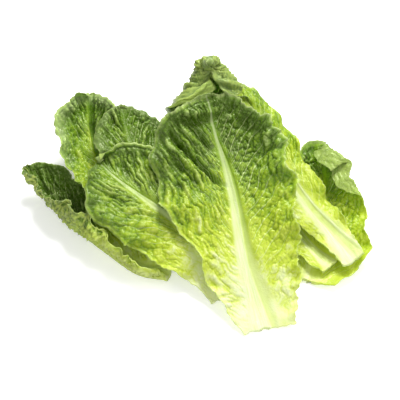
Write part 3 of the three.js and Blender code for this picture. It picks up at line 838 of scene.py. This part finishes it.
def leaf_material(name):
    """A leaf's skin over its green, or cream, flesh.

    Inputs of a map range: 0 the value, 1 and 2 its span, 3 and 4 the new span.
    Inputs of a mix: 0 the share, 6 and 7 the colours.
    """
    material = bpy.data.materials.new(name)
    material.use_nodes = True
    tree = material.node_tree
    tree.nodes.clear()
    (across, along, tone, rib, groove, margin, under, raised, painted_sheen, net_share, vein_run,
     vein_share, small_share) = (
        add(tree, "ShaderNodeAttribute", {}, "Fac", attribute_name=field)
        for field in ("across", "along", "tone", "rib", "groove", "margin", "under", "raised",
                      "painted_sheen", "net_share", "vein_run", "vein_share", "small_share"))
    place = add(tree, "ShaderNodeCombineXYZ", {0: across, 1: along})

    # The green itself, with soft patches, as it reflects and as light comes through it.
    patches = add(tree, "ShaderNodeTexNoise", {
        "Vector": place, "Scale": 1 / (PATCH * MM), "Detail": 3})
    patch_tone = add(tree, "ShaderNodeMapRange", {0: patches, 1: 0.3, 2: 0.7, 3: -0.09, 4: 0.09})
    tone = add(tree, "ShaderNodeMath", {0: tone, 1: patch_tone})
    ramps = []
    for stops in (GREENS, GLOWS):
        ramp = add(tree, "ShaderNodeValToRGB", {0: tone})
        elements = ramp.node.color_ramp.elements
        for _ in stops[2:]:
            elements.new(0.5)
        for element, (position, colour) in zip(elements, stops):
            element.position, element.color = position, linear(colour)
        ramps.append(ramp)
    blade, glow = ramps

    # Net veins: cells in a net bent by noise, that stands out on the underside.
    bend = add(tree, "ShaderNodeTexNoise", {
        "Vector": place, "Scale": 1 / (NET_BEND * MM), "Detail": 1}, "Color")
    bent = add(tree, "ShaderNodeVectorMath", {
        0: bend, 1: (NET_BEND / 2 * MM, NET_BEND / 2 * MM, 0), 2: place},
        operation="MULTIPLY_ADD")
    net = add(tree, "ShaderNodeTexVoronoi", {"Vector": bent, "Scale": 1 / (NET_CELL * MM)},
              feature="DISTANCE_TO_EDGE")
    net_lines = add(tree, "ShaderNodeMapRange", {0: net, 1: 0, 2: NET_LINE, 3: 1, 4: 0})
    net_lines = add(tree, "ShaderNodeMath", {0: net_lines, 1: net_share}, operation="MULTIPLY")

    # Side veins: fine pale lines on the creases, with four times as many small ones between.
    vein = add(tree, "ShaderNodeMath", {0: vein_run, 1: 0.5}, operation="PINGPONG")
    veins = add(tree, "ShaderNodeMapRange", {0: vein, 1: 0, 2: VEIN_LINE, 3: 1, 4: 0})
    veins = add(tree, "ShaderNodeMath", {0: veins, 1: vein_share}, operation="MULTIPLY")
    small_run = add(tree, "ShaderNodeMath", {0: vein_run, 1: SMALL_VEINS}, operation="MULTIPLY")
    small = add(tree, "ShaderNodeMath", {0: small_run, 1: 0.5}, operation="PINGPONG")
    small = add(tree, "ShaderNodeMapRange", {0: small, 1: 0, 2: SMALL_LINE, 3: 1, 4: 0})
    small = add(tree, "ShaderNodeMath", {0: small, 1: small_share}, operation="MULTIPLY")

    # The rib: cream, with fine streaks along it. The strip beside it and the trough along a wide
    # rib: olive as painted shade, paler at the base.
    streak_place = add(tree, "ShaderNodeVectorMath", {0: place, 1: (1, 0.05, 1)},
                       operation="MULTIPLY")
    streaks = add(tree, "ShaderNodeTexNoise", {
        "Vector": streak_place, "Scale": 1 / (STREAK * MM), "Detail": 2})
    streaks = add(tree, "ShaderNodeMapRange", {0: streaks, 1: 0.35, 2: 0.65})
    cream = add(tree, "ShaderNodeMix", {0: streaks, 6: linear("#DAE8A0"), 7: linear("#F4F6DA")},
                2, data_type="RGBA")
    rib_fade = add(tree, "ShaderNodeMapRange", {0: tone, 1: 0.3, 2: 0.9, 3: 1, 4: 0.5})
    rib = add(tree, "ShaderNodeMath", {0: rib, 1: rib_fade}, operation="MULTIPLY")
    greener = add(tree, "ShaderNodeMapRange", {0: tone, 1: 0.1, 2: 0.8})
    olive = add(tree, "ShaderNodeMix", {0: greener, 6: linear("#DCE698"), 7: linear("#93B23E")},
                2, data_type="RGBA")
    strip = add(tree, "ShaderNodeMath", {0: groove, 1: 0.85}, operation="MULTIPLY")

    # The underside is duller. The very margin is thin and pale.
    dull = add(tree, "ShaderNodeMapRange", {0: tone, 1: 0.1, 2: 0.9})
    dull = add(tree, "ShaderNodeMix", {0: dull, 6: linear("#C3D672"), 7: linear("#7E9C4A")},
               2, data_type="RGBA")
    edge = add(tree, "ShaderNodeMapRange", {0: margin, 1: 0.972, 2: 0.992, 3: 0, 4: 0.6})
    pale = linear("#E2EFA6")
    # Among these layers: an olive painted shade in the groove and trough of the rib, and a pale
    # painted sheen.
    layers = ((strip, olive), (painted_sheen, linear("#CDDF9C")), (veins, pale), (small, pale),
              (edge, linear("#CFE090")), (rib, cream), (under, dull),
              (net_lines, linear("#D6E596")), (raised, linear("#CADB6C")))
    for share, colour in layers:
        blade = add(tree, "ShaderNodeMix", {0: share, 6: blade, 7: colour}, 2, data_type="RGBA")
    for share, colour in ((strip, olive), (veins, pale), (rib, linear("#F3F6D6"))):
        glow = add(tree, "ShaderNodeMix", {0: share, 6: glow, 7: colour}, 2, data_type="RGBA")

    # Between the net veins the blade rises a little. Its wax shines more in some patches, and
    # makes it a little paler where it turns away.
    grain = add(tree, "ShaderNodeTexNoise", {
        "Vector": place, "Scale": 1 / (GRAIN * MM), "Detail": 3})
    height = add(tree, "ShaderNodeMath", {0: net_lines, 1: -1.5, 2: grain},
                 operation="MULTIPLY_ADD")
    bump = add(tree, "ShaderNodeBump", {
        "Strength": 0.6, "Distance": GRAIN_HEIGHT * MM, "Height": height})
    gloss = add(tree, "ShaderNodeMapRange", {
        0: patches, 1: 0.3, 2: 0.7, 3: WAX_ROUGHNESS[0], 4: WAX_ROUGHNESS[1]})
    surface = add(tree, "ShaderNodeBsdfPrincipled", {
        "Base Color": blade, "Roughness": gloss, "Specular IOR Level": 0.5, "IOR": 1.45,
        "Specular Tint": linear("#F4F9D2"), "Normal": bump,
        "Sheen Weight": 0.06, "Sheen Roughness": 0.4, "Sheen Tint": linear("#E4EFD0")})
    behind = add(tree, "ShaderNodeBsdfTranslucent", {"Color": glow, "Normal": bump})
    mixed = add(tree, "ShaderNodeMixShader", {0: THROUGH, 1: surface, 2: behind})
    tree.links.new(mixed, tree.nodes.new("ShaderNodeOutputMaterial").inputs["Surface"])
    return material


materials = {
    # Outer leaf, its skin covered in wax as it grew: a soft gloss that catches the light on
    # every blister, and a pale painted sheen on its crests, rims and far margins.
    "green_leaf": leaf_material("waxy_green_leaf"),
    # Inner leaf, grown out of the light under the same wax, and paler only by its tone.
    "pale_leaf": leaf_material("crisp_pale_leaf"),
}

scene = bpy.context.scene
for number, leaf in enumerate(LEAVES):
    mesh = leaf_mesh("fine_" + leaf["name"], fine_leaf(ORDINARY | leaf, number))
    mesh.materials.append(materials[leaf["slot"]])
    piece = bpy.data.objects.new("fine_" + leaf["name"], mesh)
    scene.collection.objects.link(piece)
    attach(piece, "root")
    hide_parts(leaf["name"])

# ------------------------------
# The floor: a plain matt white sheet that the heap lies on.
# ------------------------------

FLOOR_HALF = 3.0  # metres
FLOOR_GLOW = 0.28
floor_mesh = bpy.data.meshes.new("floor")
floor_mesh.from_pydata([(-FLOOR_HALF, -FLOOR_HALF, 0), (FLOOR_HALF, -FLOOR_HALF, 0),
                        (FLOOR_HALF, FLOOR_HALF, 0), (-FLOOR_HALF, FLOOR_HALF, 0)],
                       [], [(0, 1, 2, 3)])
floor = bpy.data.objects.new("floor", floor_mesh)
scene.collection.objects.link(floor)
# Uncoated white paper: no shine, and a faint glow of its own that keeps shadows pale.
floor_paint = bpy.data.materials.new("matt_white_paper")
floor_paint.use_nodes = True
paint = floor_paint.node_tree.nodes["Principled BSDF"]
paint.inputs["Base Color"].default_value = linear("#F6F6F6")
paint.inputs["Roughness"].default_value = 0.9
paint.inputs["Emission Color"].default_value = linear("#FFFFFF")
paint.inputs["Emission Strength"].default_value = FLOOR_GLOW
floor_mesh.materials.append(floor_paint)

# ------------------------------
# The light: a large soft lamp high behind the heap, weaker ones in front and to the right, and
# a white room.
# ------------------------------

MID_HEAP = Vector((0, 0, 0.04))  # metres
ROOM_LIGHT = 0.42


def lamp(name, place, size, power):
    light = bpy.data.lights.new(name, "AREA")
    light.shape, light.size, light.energy = "DISK", size, power
    holder = bpy.data.objects.new(name, light)
    holder.location = place
    holder.rotation_mode = "QUATERNION"
    holder.rotation_quaternion = (MID_HEAP - Vector(place)).to_track_quat("-Z", "Y")
    scene.collection.objects.link(holder)


# Places and sizes in metres, power in watts.
lamp("key", place=(0.25, 0.95, 1.45), size=0.85, power=47)
lamp("fill", place=(-0.2, -1.3, 1.4), size=1.2, power=12)
lamp("side", place=(1.3, -0.2, 1.2), size=1.0, power=8)
room = bpy.data.worlds.new("white_room")
room.use_nodes = True
room.node_tree.nodes["Background"].inputs["Color"].default_value = (1, 1, 1, 1)
room.node_tree.nodes["Background"].inputs["Strength"].default_value = ROOM_LIGHT
scene.world = room
scene.view_settings.view_transform = "Standard"

# ------------------------------
# The camera: in front, 55 degrees above the surface.
# ------------------------------

ELEVATION = math.radians(55)
DISTANCE = 1.8  # metres
TARGET = Vector((-HEAP_ORIGIN[0] * MM, -HEAP_ORIGIN[1] * MM, 0))
FRAME_WIDTH = 0.488  # metres across the frame at the target
SENSOR = 36
camera_data = bpy.data.cameras.new("camera")
camera_data.sensor_width = SENSOR
camera_data.lens = SENSOR * DISTANCE / FRAME_WIDTH
camera = bpy.data.objects.new("camera", camera_data)
away = Vector((0, -math.cos(ELEVATION), math.sin(ELEVATION)))
camera.location = TARGET + away * DISTANCE
camera.rotation_mode = "QUATERNION"
camera.rotation_quaternion = (-away).to_track_quat("-Z", "Y")
scene.collection.objects.link(camera)
scene.camera = camera
